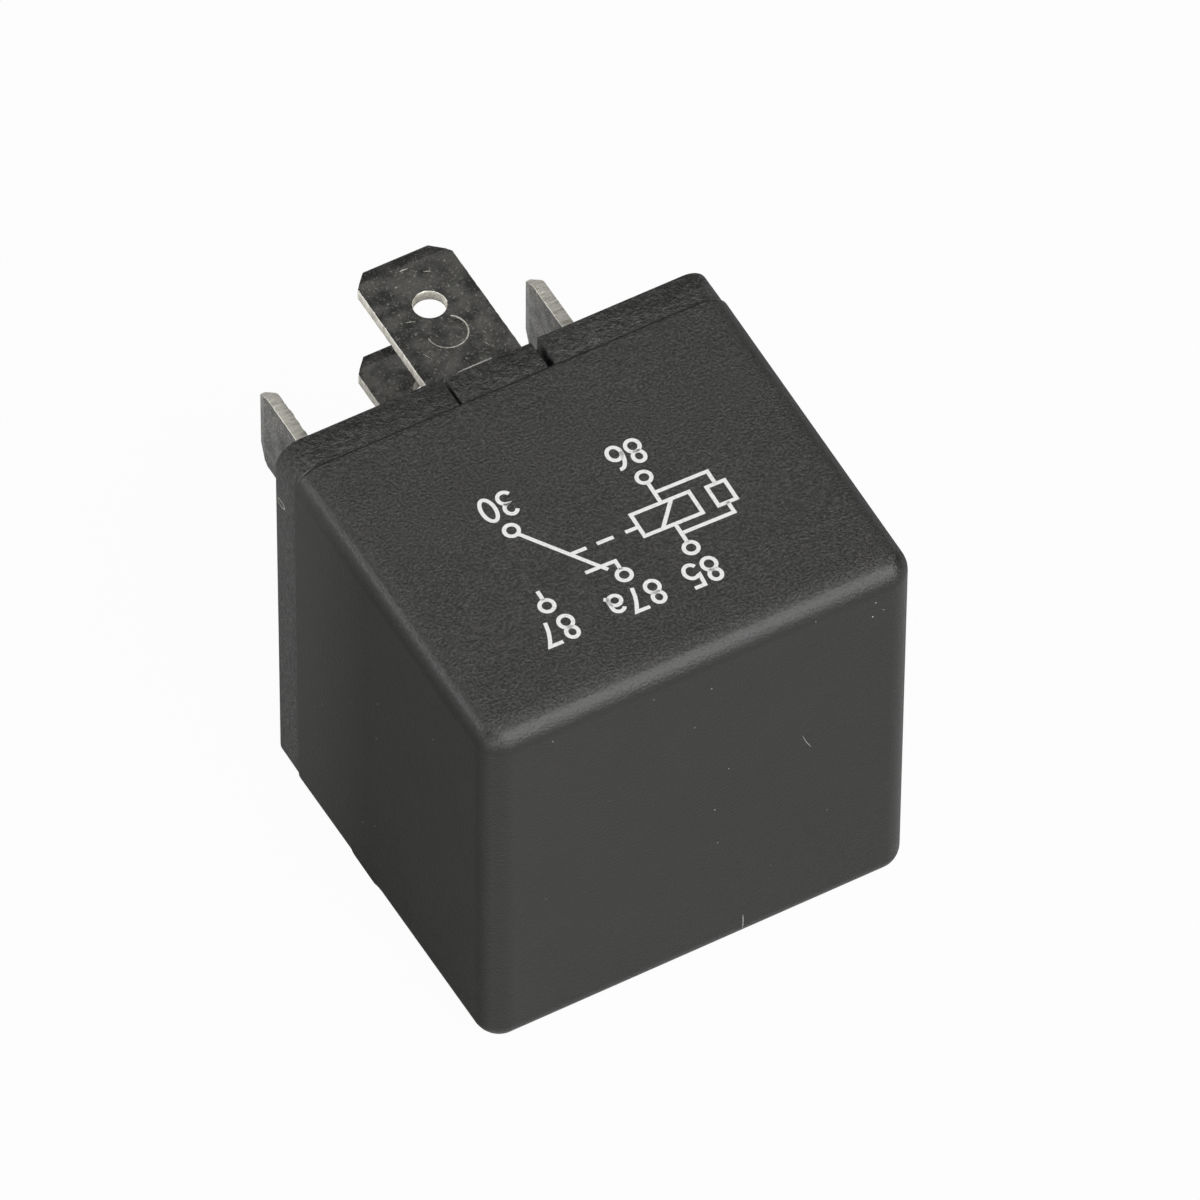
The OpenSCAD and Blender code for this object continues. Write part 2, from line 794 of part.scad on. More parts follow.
// Wire from the winding to the lug on the side given by x, wrapped twice round it
module coil_lead(x) {
    turns = 2;
    start_angle = 40;
    start_rise = 2;
    r = lead_d / 2 + fit;
    reach = winding_d / 2 + r;
    start = [x * reach * sin(start_angle), -reach * cos(start_angle), winding_z + start_rise];
    inner = lug_in - r;
    outer = lug_in + blade_t + r;
    y0 = lug_front - r;
    y1 = lug_front + lug_w - lug_notch + r;
    pitch = 2 * lead_d;
    corners = [[inner, y0], [outer, y0], [outer, y1], [inner, y1]];
    color([0.72, 0.36, 0.18])
        swept_tube(concat([start], [
            for (i = [0 : 4 * turns])
                [x * corners[i % 4].x, corners[i % 4].y, wrap_z - turns * pitch / 2 + i * pitch / 4]
        ]), lead_d, 6);
}

module coil_lead_85() {
    coil_lead(1);
}

module coil_lead_86() {
    coil_lead(-1);
}

// ---------------------------------------------------------------- moving unit

module armature() {
    side = 0.25;
    corner_r = 1.2;
    plate_back = yoke_front - side;
    waist_w = yoke_w - 2 * ear_w - 2 * side;
    waist_back = yoke_back + 2 * side;
    tail_root = spring_y - neck_l / 2 - waist_back;
    color([0.58, 0.58, 0.57])
        at_rest()
            difference() {
                translate([0, 0, armature_z])
                    linear_extrude(armature_t) {
                        translate([0, (plate_back - armature_reach) / 2])
                            round_rect(armature_w, plate_back + armature_reach, corner_r);
                        translate([-waist_w / 2, 0])
                            square([waist_w, waist_back]);
                        translate([0, waist_back])
                            hook_neck(head_w, tail_root);
                    }
                for (x = [-1, 1])
                    translate([x * rivet_x, rivet_y, armature_z - through])
                        cylinder(d = rivet_d + 2 * fit, h = armature_t + 2 * through);
            }
}

module contact_spring() {
    tip_r = contact_d / 2 + leaf_edge;
    relief_w = 1.2;
    relief_l = 2.6;
    relief_r = 0.55;
    color([0.8, 0.6, 0.35])
        at_rest()
            translate([0, 0, leaf_z + fit])
                linear_extrude(leaf_t - fit)
                    difference() {
                        union() {
                            translate([-leaf_w / 2, leaf_root])
                                square([leaf_w, leaf_back - leaf_root]);
                            polygon([
                                [-leaf_w / 2, leaf_root], [-tip_r, contact_y], [tip_r, contact_y],
                                [leaf_w / 2, leaf_root]
                            ]);
                            translate([0, contact_y])
                                circle(tip_r);
                        }
                        for (x = [-1, 1])
                            translate([x * rivet_x, rivet_y])
                                circle(d = rivet_d + 2 * fit);
                        translate([0, contact_y])
                            circle(d = shank_d + 2 * fit);
                        // slot that makes the free end softer
                        translate([0, leaf_root - relief_w / 2])
                            round_rect(relief_w, relief_l, relief_r);
                    }
}

module leaf_rivets() {
    color([0.75, 0.6, 0.35])
        at_rest()
            for (x = [-1, 1])
                translate([x * rivet_x, rivet_y, 0]) {
                    translate([0, 0, armature_z + rivet_short])
                        cylinder(d = rivet_d, h = leaf_top + 2 * fit - armature_z - rivet_short);
                    translate([0, 0, leaf_top + fit])
                        domed_head(rivet_head_d, rivet_head_h, rivet_dome_h);
                }
}

// Rivet through the free end of the leaf, with a contact head above and below it
module moving_contact() {
    color([0.85, 0.85, 0.82])
        at_rest()
            translate([0, contact_y, 0]) {
                translate([0, 0, leaf_top + fit])
                    domed_head(contact_d, moving_head_h, dome_h);
                translate([0, 0, leaf_z - fit])
                    mirror([0, 0, 1])
                        domed_head(contact_d, moving_head_h, dome_h);
                translate([0, 0, leaf_z - 2 * fit])
                    cylinder(d = shank_d, h = leaf_t + 4 * fit);
            }
}

module fixed_contact_no() {
    color([0.85, 0.85, 0.82])
        translate([0, contact_y, shelf_top])
            contact_rivet();
}

module fixed_contact_nc() {
    color([0.85, 0.85, 0.82])
        translate([0, contact_y, arm_z])
            mirror([0, 0, 1])
                contact_rivet();
}

// ---------------------------------------------------------------- spring and braid

// Extension spring with a loop at each end, round the necks of the lug and the tail
module return_spring() {
    steps = 12;
    hook_turn = 110;
    rings = spring_turns * steps;
    color([0.7, 0.7, 0.68])
        translate([0, spring_y, 0])
            swept_tube(concat(
                [
                    for (a = [-hook_turn : 20 : 90])
                        [hook_r * sin(a), 0, lower_hook_z - hook_r * cos(a)]
                ],
                [
                    for (i = [0 : rings])
                        [
                            spring_r * cos(360 * i / steps), spring_r * sin(360 * i / steps),
                            coil_z + (coil_top - coil_z) * i / rings
                        ]
                ],
                [
                    for (a = [90 : -20 : -hook_turn])
                        [hook_r * sin(a), 0, upper_hook_z + hook_r * cos(a)]
                ]
            ), spring_wire_d, 6);
}

// Flexible braid from the side of the yoke over to the top of the leaf
module copper_braid() {
    top = yoke_top + (leaf_top - yoke_top) * cos(open_angle)
        + (yoke_back - braid_y) * sin(open_angle) + braid_d / 2 + 2 * fit;
    side_x = yoke_w / 2 + braid_d / 2 + fit;
    side_y = (yoke_front + yoke_back) / 2;
    run = side_y - braid_y;
    color([0.75, 0.4, 0.22])
        swept_tube(smooth_path([
            [-braid_lap, braid_y, top],
            [braid_lap / 2, braid_y, top],
            [side_x * 0.5, braid_y + run * 0.06, top + braid_d * 0.3],
            [side_x * 0.88, braid_y + run * 0.2, top + braid_d * 0.15],
            [side_x + braid_bow * 0.7, braid_y + run * 0.44, top - braid_drop * 0.17],
            [side_x + braid_bow, braid_y + run * 0.67, top - braid_drop * 0.42],
            [side_x + braid_bow * 0.27, side_y, top - braid_drop * 0.67],
            [side_x, side_y, top - braid_drop * 0.79],
            [side_x, side_y, top - braid_drop]
        ]), braid_d, 8);
}

// Points along a smooth curve through the given ones, four to a stretch
function smooth_path(p) = [
    for (i = [0 : len(p) - 2], k = [0 : 3])
        blend_point(p, i, k / 4),
    p[len(p) - 1]
];
function blend_point(p, i, t) =
    let (
        a = p[max(i - 1, 0)], b = p[i], c = p[i + 1], d = p[min(i + 2, len(p) - 1)],
        t2 = t * t, t3 = t2 * t
    )
    0.5 * ((2 * b) + (c - a) * t + (2 * a - 5 * b + 4 * c - d) * t2 + (3 * b - a - 3 * c + d) * t3);

// ---------------------------------------------------------------- suppression

module suppression_resistor() {
    cap_l = 1.3;
    cap_r = 0.5;        // round ends of the caps
    cap_slope = 0.35;
    waist = 0.15;
    half = resistor_l / 2;
    r = resistor_d / 2;
    color([0.45, 0.62, 0.7])
        translate([0, resistor_y, resistor_z])
            rotate([0, 90, 0])
                rotate_extrude()
                    polygon([
                        [0, -half], [r - 0.8 * cap_r, -half],
                        [r - 0.2 * cap_r, 0.3 * cap_r - half], [r, cap_r - half],
                        [r, cap_l - half], [r - waist, cap_l + cap_slope - half],
                        [r - waist, half - cap_l - cap_slope], [r, half - cap_l],
                        [r, half - cap_r], [r - 0.2 * cap_r, half - 0.3 * cap_r],
                        [r - 0.8 * cap_r, half], [0, half]
                    ]);
}

module resistor_leads() {
    inner = lug_in - resistor_wire_d / 2 - fit;
    bend_l = 0.8;
    lap_l = 1.4;        // length of wire that lies along the lug
    color("silver")
        for (x = [-1, 1])
            swept_tube([
                [x * (resistor_l / 2 + fit), resistor_y, resistor_z],
                [x * (inner - bend_l), resistor_y, resistor_z],
                [x * (inner - 0.3 * bend_l), resistor_y + 0.3 * bend_l, resistor_z],
                [x * inner, resistor_y + bend_l, resistor_z],
                [x * inner, lug_front + lap_l, resistor_z]
            ], resistor_wire_d, 8);
}

// ---------------------------------------------------------------- assembly

lay() cover();
lay() base();
lay() terminal_30();
lay() terminal_85();
lay() terminal_86();
lay() terminal_87();
lay() terminal_87a();
lay() yoke();
lay() iron_core();
lay() bobbin();
lay() coil_winding();
lay() coil_lead_85();
lay() coil_lead_86();
lay() armature();
lay() contact_spring();
lay() leaf_rivets();
lay() moving_contact();
lay() fixed_contact_no();
lay() fixed_contact_nc();
lay() return_spring();
lay() copper_braid();
lay() suppression_resistor();
lay() resistor_leads();
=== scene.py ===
"""Looks of a plug-in vehicle relay that lies on the back of its cover.

Lengths are in millimetres and MM turns them into metres. +Z comes out of the printed front,
+Y runs along the terminals and -Y is the closed end of the cover.
"""
import json
import math

import bmesh
import bpy
from mathutils import Matrix, Vector, noise


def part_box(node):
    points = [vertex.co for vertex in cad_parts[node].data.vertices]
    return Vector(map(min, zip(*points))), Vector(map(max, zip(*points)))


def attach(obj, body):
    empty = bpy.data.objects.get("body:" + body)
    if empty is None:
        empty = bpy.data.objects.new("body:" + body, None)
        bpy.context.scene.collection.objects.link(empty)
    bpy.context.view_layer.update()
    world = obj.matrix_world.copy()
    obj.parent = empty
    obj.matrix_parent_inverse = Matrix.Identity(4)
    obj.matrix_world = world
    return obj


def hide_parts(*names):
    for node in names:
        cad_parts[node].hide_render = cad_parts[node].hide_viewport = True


MM = 0.001
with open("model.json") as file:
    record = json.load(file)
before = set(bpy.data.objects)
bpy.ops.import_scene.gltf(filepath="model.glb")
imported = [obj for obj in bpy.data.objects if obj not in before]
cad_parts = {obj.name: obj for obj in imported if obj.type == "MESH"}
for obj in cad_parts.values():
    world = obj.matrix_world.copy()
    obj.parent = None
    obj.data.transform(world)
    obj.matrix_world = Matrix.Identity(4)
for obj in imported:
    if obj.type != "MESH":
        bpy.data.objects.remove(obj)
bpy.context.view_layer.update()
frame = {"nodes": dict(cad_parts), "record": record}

# ---------------------------------------------------------------- places from the frame


def box_mm(node):
    """Lowest and highest corner of a CAD node in millimetres."""
    low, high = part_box(node)
    return Vector(low) / MM, Vector(high) / MM


COVER_LOW, COVER_HIGH = box_mm("cover")
BASE_LOW, BASE_HIGH = box_mm("base")
BLADE_HIGH = box_mm("terminal_87")[1]

HALF_W = COVER_HIGH.x                       # half the width of the cover at its mouth
HALF_D = (COVER_HIGH.z - COVER_LOW.z) / 2   # half its depth
MID_Z = (COVER_HIGH.z + COVER_LOW.z) / 2
MOUTH_Y = COVER_HIGH.y
END_Y = COVER_LOW.y
UNDERSIDE_Y = BASE_HIGH.y
TIP_Y = BLADE_HIGH.y
BLADE_FRONT_Z = BLADE_HIGH.z                # front face of terminal 87
BLADE_T = 0.8                               # thickness of the sheet
HOLE_Y = TIP_Y - 4.15                       # middle of the detent holes
# middle of the sheet of the two blades that lie parallel to the printed front
BLADE_MIDDLE_Z = {"terminal_87": MID_Z + 10.8, "terminal_87a": MID_Z + 3.15}

LEAN = 0.21                                 # how far each wall leans in over the cover's height
END_R = 1.7                                 # edges round the closed end
SIDE_R = 1.6                                # the four long edges
WALL = 1.2                                  # side walls
END_WALL = 1.3                              # wall of the closed end
SINK = 0.03                                 # how far the flat walls are sunk in their middle
END_SINK = 0.02                             # the closed end lies this far inside its outline
SCAR_Y, SCAR_HALF = -3.55, 1.55             # middle and half length of the raised scar
SCAR_RISE, SCAR_SLOPE = 0.12, 0.25          # its height, and the length of its sloping ends
# how far each ring of the cover's lip lies back from the mouth, and how far it is set in
LIP = ((0, 0.12), (0.04, 0.035), (0.13, 0))
BODY_CENTRE = Vector((0, (UNDERSIDE_Y + END_Y) / 2, MID_Z))


def lean_at(y):
    """How far the walls stand in from the mouth at a place along the cover."""
    return LEAN * (MOUTH_Y - y) / (MOUTH_Y - END_Y - END_R)


def sink_at(across, y, half):
    """Hollow of a moulded wall: nothing at its edges and SINK in its middle."""
    along = (MOUTH_Y - y) / (MOUTH_Y - END_Y)
    side = max(0.0, 1 - (across / half) ** 2)
    return SINK * side * side * math.sin(math.pi * min(max(along, 0.0), 1.0)) ** 2


def front_z(x, y):
    """Height of the printed front."""
    return MID_Z + HALF_D - lean_at(y) - sink_at(x, y, HALF_W - SIDE_R)


# ---------------------------------------------------------------- mesh tools


def finish_mesh(name, bm, materials, body="housing", smooth_angle=35):
    """Turns a bmesh in millimetres into an object that rides on a body."""
    bmesh.ops.recalc_face_normals(bm, faces=bm.faces)
    mesh = bpy.data.meshes.new(name)
    bm.to_mesh(mesh)
    bm.free()
    mesh.transform(Matrix.Scale(MM, 4))
    shade(mesh, smooth_angle)
    for material in materials:
        mesh.materials.append(material)
    obj = bpy.data.objects.new(name, mesh)
    bpy.context.scene.collection.objects.link(obj)
    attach(obj, body)
    return obj


def shade(mesh, angle):
    """Smooth shading, with edges sharper than the angle kept sharp."""
    mesh.shade_smooth()
    mesh.set_sharp_from_angle(angle=math.radians(angle))


def loft(bm, rings):
    """Skins a list of closed rings of equal length and caps both ends."""
    rows = [[bm.verts.new(point) for point in ring] for ring in rings]
    count = len(rows[0])
    for low, high in zip(rows, rows[1:]):
        for i in range(count):
            j = (i + 1) % count
            bm.faces.new((low[i], low[j], high[j], high[i]))
    bm.faces.new(rows[0])
    bm.faces.new(rows[-1])


def skin(bm, rows, closed=False):
    """Joins rows of points, each a ring, into a strip that is closed or capped at its ends."""
    pairs = list(zip(rows, rows[1:]))
    if closed:
        pairs.append((rows[-1], rows[0]))
    else:
        bm.faces.new(rows[0])
        bm.faces.new(rows[-1][::-1])
    count = len(rows[0])
    for a, b in pairs:
        for k in range(count):
            m = (k + 1) % count
            bm.faces.new((a[k], b[k], b[m], a[m]))


def ring_xz(y, half_w, half_d, radius, shift=None, steps=8):
    """Round rectangle across the cover at the place y. shift(point, outward) gives how far each
    point is moved outward."""
    corners = [(1, 1, 0), (-1, 1, 90), (-1, -1, 180), (1, -1, 270)]
    edge_loop = 0.12    # distance of the first and last point of a flat from its corners
    points = []
    for n, (sx, sz, start) in enumerate(corners):
        cx, cz = sx * (half_w - radius), sz * (half_d - radius)
        for k in range(steps + 1):
            a = math.radians(start + 90 * k / steps)
            points.append((Vector((cx + radius * math.cos(a), y, cz + radius * math.sin(a))),
                           Vector((math.cos(a), 0, math.sin(a)))))
        end = points[-1][0]
        a = math.radians(start + 90)
        outward = Vector((math.cos(a), 0, math.sin(a)))
        length = 2 * ((half_w if n % 2 == 0 else half_d) - radius)
        along = Vector((-outward.z, 0, outward.x))
        support = min(edge_loop / length, 0.2)
        for t in [support] + [i / 10 for i in range(1, 10)] + [1 - support]:
            points.append((end + along * (length * t), outward))
    return [
        point + Vector((0, 0, MID_Z)) + outward * (shift(point, outward) if shift else 0)
        for point, outward in points
    ]


def mouth_ring(y, inset, steps=8):
    """Ring near the mouth of the cover, set in from the outer skin."""
    return ring_xz(y, HALF_W - inset, HALF_D - inset, SIDE_R - inset, steps=steps)


# ---------------------------------------------------------------- node materials


def new_material(name, metallic, specular=0.5):
    """Material with its Principled shader. Values that are the same all over go on its sockets."""
    material = bpy.data.materials.new(name)
    material.use_nodes = True
    tree = material.node_tree
    shader = tree.nodes["Principled BSDF"]
    shader.inputs["Metallic"].default_value = metallic
    shader.inputs["IOR"].default_value = 1.5
    shader.inputs["Specular IOR Level"].default_value = specular
    return material, tree, shader


def add(tree, kind, inputs, output=0, **settings):
    """Adds a node, fills or links its inputs, and gives back one of its outputs."""
    made = tree.nodes.new(kind)
    for key, value in settings.items():
        setattr(made, key, value)
    for key, value in inputs.items():
        if isinstance(value, bpy.types.NodeSocket):
            tree.links.new(value, made.inputs[key])
        else:
            made.inputs[key].default_value = value
    return made.outputs[output]


def place(tree, stretch=(1, 1, 1), seed=0.0):
    """Object coordinates in millimetres, stretched by a factor along each axis."""
    coordinates = tree.nodes.new("ShaderNodeTexCoord").outputs["Object"]
    scale = [1 / (MM * s) for s in stretch]
    away = (0, 0, 100 * seed)
    return add(tree, "ShaderNodeMapping", {"Vector": coordinates, "Scale": scale, "Location": away})


def grain(tree, size, detail=2.0, stretch=(1, 1, 1), rough=0.5, seed=0.0):
    """Noise whose blobs are about size millimetres across."""
    return add(tree, "ShaderNodeTexNoise", {
        "Vector": place(tree, stretch, seed), "Scale": 1 / size, "Detail": detail,
        "Roughness": rough})


def ramp(tree, value, *stops):
    """Maps a value through colour stops, each (position, colour or grey)."""
    made = tree.nodes.new("ShaderNodeValToRGB")
    tree.links.new(value, made.inputs["Fac"])
    elements = made.color_ramp.elements
    while len(elements) < len(stops):
        elements.new(0.5)
    for element, (position, colour) in zip(elements, stops):
        element.position = position
        colour = colour if hasattr(colour, "__len__") else (colour,) * 3
        element.color = (*colour, 1)
    return made.outputs["Color"]


def maths(tree, operation, a, b):
    """Result of a sum on two values, such as ADD or MULTIPLY."""
    return add(tree, "ShaderNodeMath", {0: a, 1: b}, operation=operation)


def blend_colour(tree, factor, a, b):
    """Mixes two colours by a factor."""
    made = tree.nodes.new("ShaderNodeMix")
    made.data_type = "RGBA"
    for key, value in (("Factor", factor), ("A", a), ("B", b)):
        socket = [s for s in made.inputs if s.name == key and s.enabled][0]
        if isinstance(value, bpy.types.NodeSocket):
            tree.links.new(value, socket)
        else:
            socket.default_value = value if key == "Factor" else (*value, 1)
    return [s for s in made.outputs if s.enabled][0]


def bump(tree, shader, *layers):
    """Chains bumps onto the shader's normal, each (height, depth in millimetres, strength)."""
    normal = None
    for height, depth, strength in layers:
        inputs = {"Height": height, "Distance": depth * MM, "Strength": strength}
        if normal is not None:
            inputs["Normal"] = normal
        normal = add(tree, "ShaderNodeBump", inputs)
    tree.links.new(normal, shader.inputs["Normal"])


def link(tree, shader, **sockets):
    """Links outputs to the shader's inputs, which are named with _ in place of spaces."""
    for key, value in sockets.items():
        tree.links.new(value, shader.inputs[key.replace("_", " ")])


def rise_of(tree, coordinate, axis, low, high):
    """0 to 1 as one axis (0, 1 or 2) of a texture coordinate goes from low to high."""
    vector = tree.nodes.new("ShaderNodeTexCoord").outputs[coordinate]
    part = add(tree, "ShaderNodeSeparateXYZ", {"Vector": vector}, axis)
    return add(tree, "ShaderNodeMapRange", {"Value": part, "From Min": low, "From Max": high})


def facing(tree, axis, low, high):
    """0 to 1 as the surface turns from low to high towards an axis of the object."""
    return rise_of(tree, "Normal", axis, low, high)


def along(tree, low, high):
    """0 to 1 from one place to another along the cover, in millimetres."""
    return rise_of(tree, "Object", 1, low * MM, high * MM)


def cover_plastic():
    """Matte black thermoplastic: a strong spark-eroded grain on the printed front, a weaker one on
    the side walls, and a nearly smooth closed end. The side walls are painted a little paler
    towards the mouth as a painted sheen. The front is painted paler than the sides as a painted
    sheen for the light its grain catches. The grain's colour holds painted shade in its hollows and
    painted sparkle on its peaks."""
    material, tree, shader = new_material("cover_plastic", 0.0)
    fine = grain(tree, 0.17, 2.0, rough=0.75)
    coarse = grain(tree, 0.7, 2.0, seed=3.0)
    cloud = grain(tree, 5.0, 2.0, seed=7.0)
    front = facing(tree, 2, 0.8, 0.97)
    left = facing(tree, 0, -0.7, -0.97)
    right = facing(tree, 0, 0.7, 0.97)
    side = maths(tree, "MAXIMUM", left, right)
    sheen_from = -4      # the painted sheen that makes the side walls paler begins here
    # painted shade in the hollows of the grain and painted sparkle on its peaks
    grain_shade_and_sparkle = ramp(tree, fine, (0.3, 0.3), (0.5, 0.9), (0.7, 1.9))
    plain = ramp(tree, cloud, (0.3, (0.0098, 0.0094, 0.0084)), (0.7, (0.0114, 0.011, 0.0098)))
    # side walls painted paler towards the mouth: a painted sheen
    side_sheen = maths(tree, "MULTIPLY", side, along(tree, sheen_from, MOUTH_Y))
    plain = blend_colour(tree, side_sheen, plain, (0.034, 0.0335, 0.032))
    # front painted paler than the sides, a painted sheen for the light its grain catches, with an
    # uneven cloudy tone
    front_tone_and_sheen = ramp(tree, cloud, (0.3, (0.034, 0.0332, 0.0312)), (0.7, (0.039, 0.0382, 0.036)))
    grain_and_painted_light = add(tree, "ShaderNodeVectorMath", {0: front_tone_and_sheen, 1: grain_shade_and_sparkle}, operation="MULTIPLY")
    link(tree, shader, Base_Color=blend_colour(tree, front, plain, grain_and_painted_light),
         Roughness=ramp(tree, maths(tree, "MAXIMUM", front, side), (0.0, 0.35), (1.0, 0.62)),
         Specular_IOR_Level=ramp(tree, side, (0.0, 0.48), (1.0, 0.24)))
    coverage = maths(tree, "MAXIMUM", front, maths(tree, "MULTIPLY", side, 0.5))
    height = maths(tree, "MULTIPLY", fine, ramp(tree, coverage, (0.0, 0.22), (1.0, 1.0)))
    bump(tree, shader, (height, 0.26, 0.9), (coarse, 0.03, 0.3))
    return material


def base_plastic():
    """Glossier black moulding with a coarse sparkle, from its bump and from painted sparkle and
    painted shade in the specks of its colour.
    """
    material, tree, shader = new_material("base_plastic", 0.0, specular=0.45)
    fine = grain(tree, 0.26, 2.0, rough=0.75)
    cloud = grain(tree, 2.5, 2.0, seed=2.0)
    dull = ramp(tree, cloud, (0.3, (0.024, 0.0236, 0.0226)), (0.7, (0.036, 0.0355, 0.034)))
    # painted sparkle on the peaks of the grain and painted shade in its hollows
    grain_shade_and_sparkle = ramp(tree, fine, (0.3, 0.4), (0.5, 0.9), (0.7, 2.0))
    colour = add(tree, "ShaderNodeVectorMath", {0: dull, 1: grain_shade_and_sparkle}, operation="MULTIPLY")
    link(tree, shader, Base_Color=colour, Roughness=ramp(tree, cloud, (0.3, 0.42), (0.7, 0.54)))
    bump(tree, shader, (fine, 0.3, 0.9))
    return material


def tin_plate():
    """Dull tin over brass: cloudy tarnish with bright specks and fine scratches."""
    material, tree, shader = new_material("tin_plate", 1.0)
    cloud = grain(tree, 1.1, 4.0, rough=0.6)
    specks = grain(tree, 0.17, 3.0, rough=0.75, seed=5.0)
    rolled = grain(tree, 0.1, 2.0, stretch=(1, 12, 1), seed=9.0)
    dull = ramp(tree, cloud, (0.36, (0.11, 0.11, 0.104)), (0.62, (0.29, 0.285, 0.268)))
    bright = ramp(tree, specks, (0.57, 0.0), (0.7, 1.0))
    colour = blend_colour(tree, bright, dull, (0.7, 0.69, 0.65))
    roughness = ramp(tree, specks, (0.55, 0.27), (0.72, 0.5))
    link(tree, shader, Base_Color=colour, Roughness=roughness)
    bump(tree, shader, (specks, 0.02, 0.6), (rolled, 0.008, 0.4))
    return material


def sheared_edge():
    """Edge of stamped sheet: bright burnished metal with tear marks across it."""
    material, tree, shader = new_material("sheared_edge", 1.0)
    tears = grain(tree, 0.3, 3.0, stretch=(4, 1, 4), rough=0.7)
    colour = ramp(tree, tears, (0.32, (0.55, 0.53, 0.47)), (0.55, (0.86, 0.84, 0.77)))
    link(tree, shader, Base_Color=colour, Roughness=ramp(tree, tears, (0.3, 0.75), (0.7, 0.6)))
    bump(tree, shader, (tears, 0.12, 0.8))
    return material


def plain_metal(name, colour, roughness, size=0.3, depth=0.008):
    """Metal with a slight cloudiness and a fine worked surface."""
    material, tree, shader = new_material(name, 1.0)
    cloud = grain(tree, size * 4, 3.0)
    fine = grain(tree, size, 3.0, seed=4.0)
    dark = [c * 0.78 for c in colour]
    link(tree, shader, Base_Color=ramp(tree, cloud, (0.35, dark), (0.65, colour)),
         Roughness=ramp(tree, fine, (0.3, roughness * 0.8), (0.7, min(roughness * 1.25, 1))))
    bump(tree, shader, (fine, depth, 0.5))
    return material


def plain_plastic(name, colour, roughness, size=0.2, depth=0.01):
    """Plastic or lacquer with a slight cloudiness and a fine grain."""
    material, tree, shader = new_material(name, 0.0)
    cloud = grain(tree, size * 8, 3.0)
    fine = grain(tree, size, 3.0, seed=4.0)
    dark = [c * 0.85 for c in colour]
    link(tree, shader, Base_Color=ramp(tree, cloud, (0.35, dark), (0.65, colour)),
         Roughness=ramp(tree, cloud, (0.3, roughness * 0.9), (0.7, roughness * 1.1)))
    bump(tree, shader, (fine, depth, 0.5))
    return material


def print_ink():
    """Pad-printed pale grey ink, a little uneven."""
    material, tree, shader = new_material("print_ink", 0.0, specular=0.4)
    patchy = grain(tree, 0.13, 3.0, rough=0.65)
    colour = ramp(tree, patchy, (0.25, (0.42, 0.42, 0.41)), (0.45, (0.72, 0.72, 0.71)))
    link(tree, shader, Base_Color=colour, Roughness=ramp(tree, patchy, (0.3, 0.5), (0.7, 0.6)))
    bump(tree, shader, (patchy, 0.008, 0.5))
    return material


MATERIALS = {
    "cover_plastic": cover_plastic(),
    "base_plastic": base_plastic(),
    "tinned_brass": tin_plate(),
    "soft_iron": plain_metal("soft_iron", (0.5, 0.5, 0.48), 0.38),
    "bobbin_plastic": plain_plastic("bobbin_plastic", (0.62, 0.56, 0.42), 0.5),
    "enamelled_copper": plain_metal("enamelled_copper", (0.6, 0.22, 0.08), 0.3, 0.1),
    "bare_copper": plain_metal("bare_copper", (0.75, 0.36, 0.2), 0.35, 0.1),
    "spring_bronze": plain_metal("spring_bronze", (0.72, 0.5, 0.26), 0.32),
    "rivet_brass": plain_metal("rivet_brass", (0.75, 0.6, 0.3), 0.3),
    "contact_silver": plain_metal("contact_silver", (0.85, 0.84, 0.8), 0.28),
    "spring_steel": plain_metal("spring_steel", (0.55, 0.55, 0.54), 0.3, 0.1),
    "resistor_lacquer": plain_plastic("resistor_lacquer", (0.2, 0.4, 0.48), 0.3),
}
SHEARED_EDGE = sheared_edge()
PRINT_INK = print_ink()
# pale grey for the dust, the flange's oval mark and the painted glint on the tongue's edge
DUST_AND_GLINT = plain_plastic("dust", (0.3, 0.29, 0.27), 0.8, 0.05)
# a real fin, painted far paler than the cover as a painted glint along the seam
FLASH_GLINT_PLASTIC = plain_plastic("flash_glint_plastic", (0.13, 0.128, 0.122), 0.5, 0.1)
SLOTS = {part["node"]: part["material_slot"] for part in frame["record"]["subparts"]}
BODIES = {
    node: body
    for body, nodes in frame["record"]["behaviour"]["bodies"].items() for node in nodes
}

# ---------------------------------------------------------------- cover


def cover_rings(inset, end_wall, end_r, side_r, shift):
    """Rings of one skin of the cover, from the mouth to the flat of the closed end."""
    rings = []
    straight = MOUTH_Y - END_Y - END_R
    count = 60
    turn = 6            # degrees from ring to ring round the edge of the closed end
    least_r = 0.1       # of the corners, where the rings get small
    for k in range(count + 1):
        y = MOUTH_Y - straight * k / count
        lean = lean_at(y) + inset
        rings.append(ring_xz(y, HALF_W - lean, HALF_D - lean, side_r, shift))
    lean = LEAN + inset
    for degrees in range(turn, 91, turn):
        a = math.radians(degrees)
        back = end_r * (1 - math.cos(a))
        y = END_Y + end_wall + end_r * (1 - math.sin(a))
        rings.append(ring_xz(y, HALF_W - lean - back, HALF_D - lean - back,
                             max(side_r - back, least_r), shift))
    return rings


def outer_shift(point, outward):
    """Moulding faults of the outer skin: sunk walls, and a raised scar on one lower edge."""
    move = 0.0
    if max(abs(outward.x), abs(outward.z)) > 0.999:
        on_side = abs(outward.x) > 0.5
        across = point.z if on_side else point.x
        half = (HALF_D if on_side else HALF_W) - SIDE_R
        move -= sink_at(across, point.y, half)
    if outward.x < -0.05 and outward.z < -0.05:
        # where the walls hardly lean in, the scar stays low, so it never leaves the cover's box
        rise = min(SCAR_RISE, 0.95 * lean_at(point.y))
        edge = (SCAR_HALF - abs(point.y - SCAR_Y)) / SCAR_SLOPE
        move += rise * min(max(edge, 0.0), 1.0)
    return move


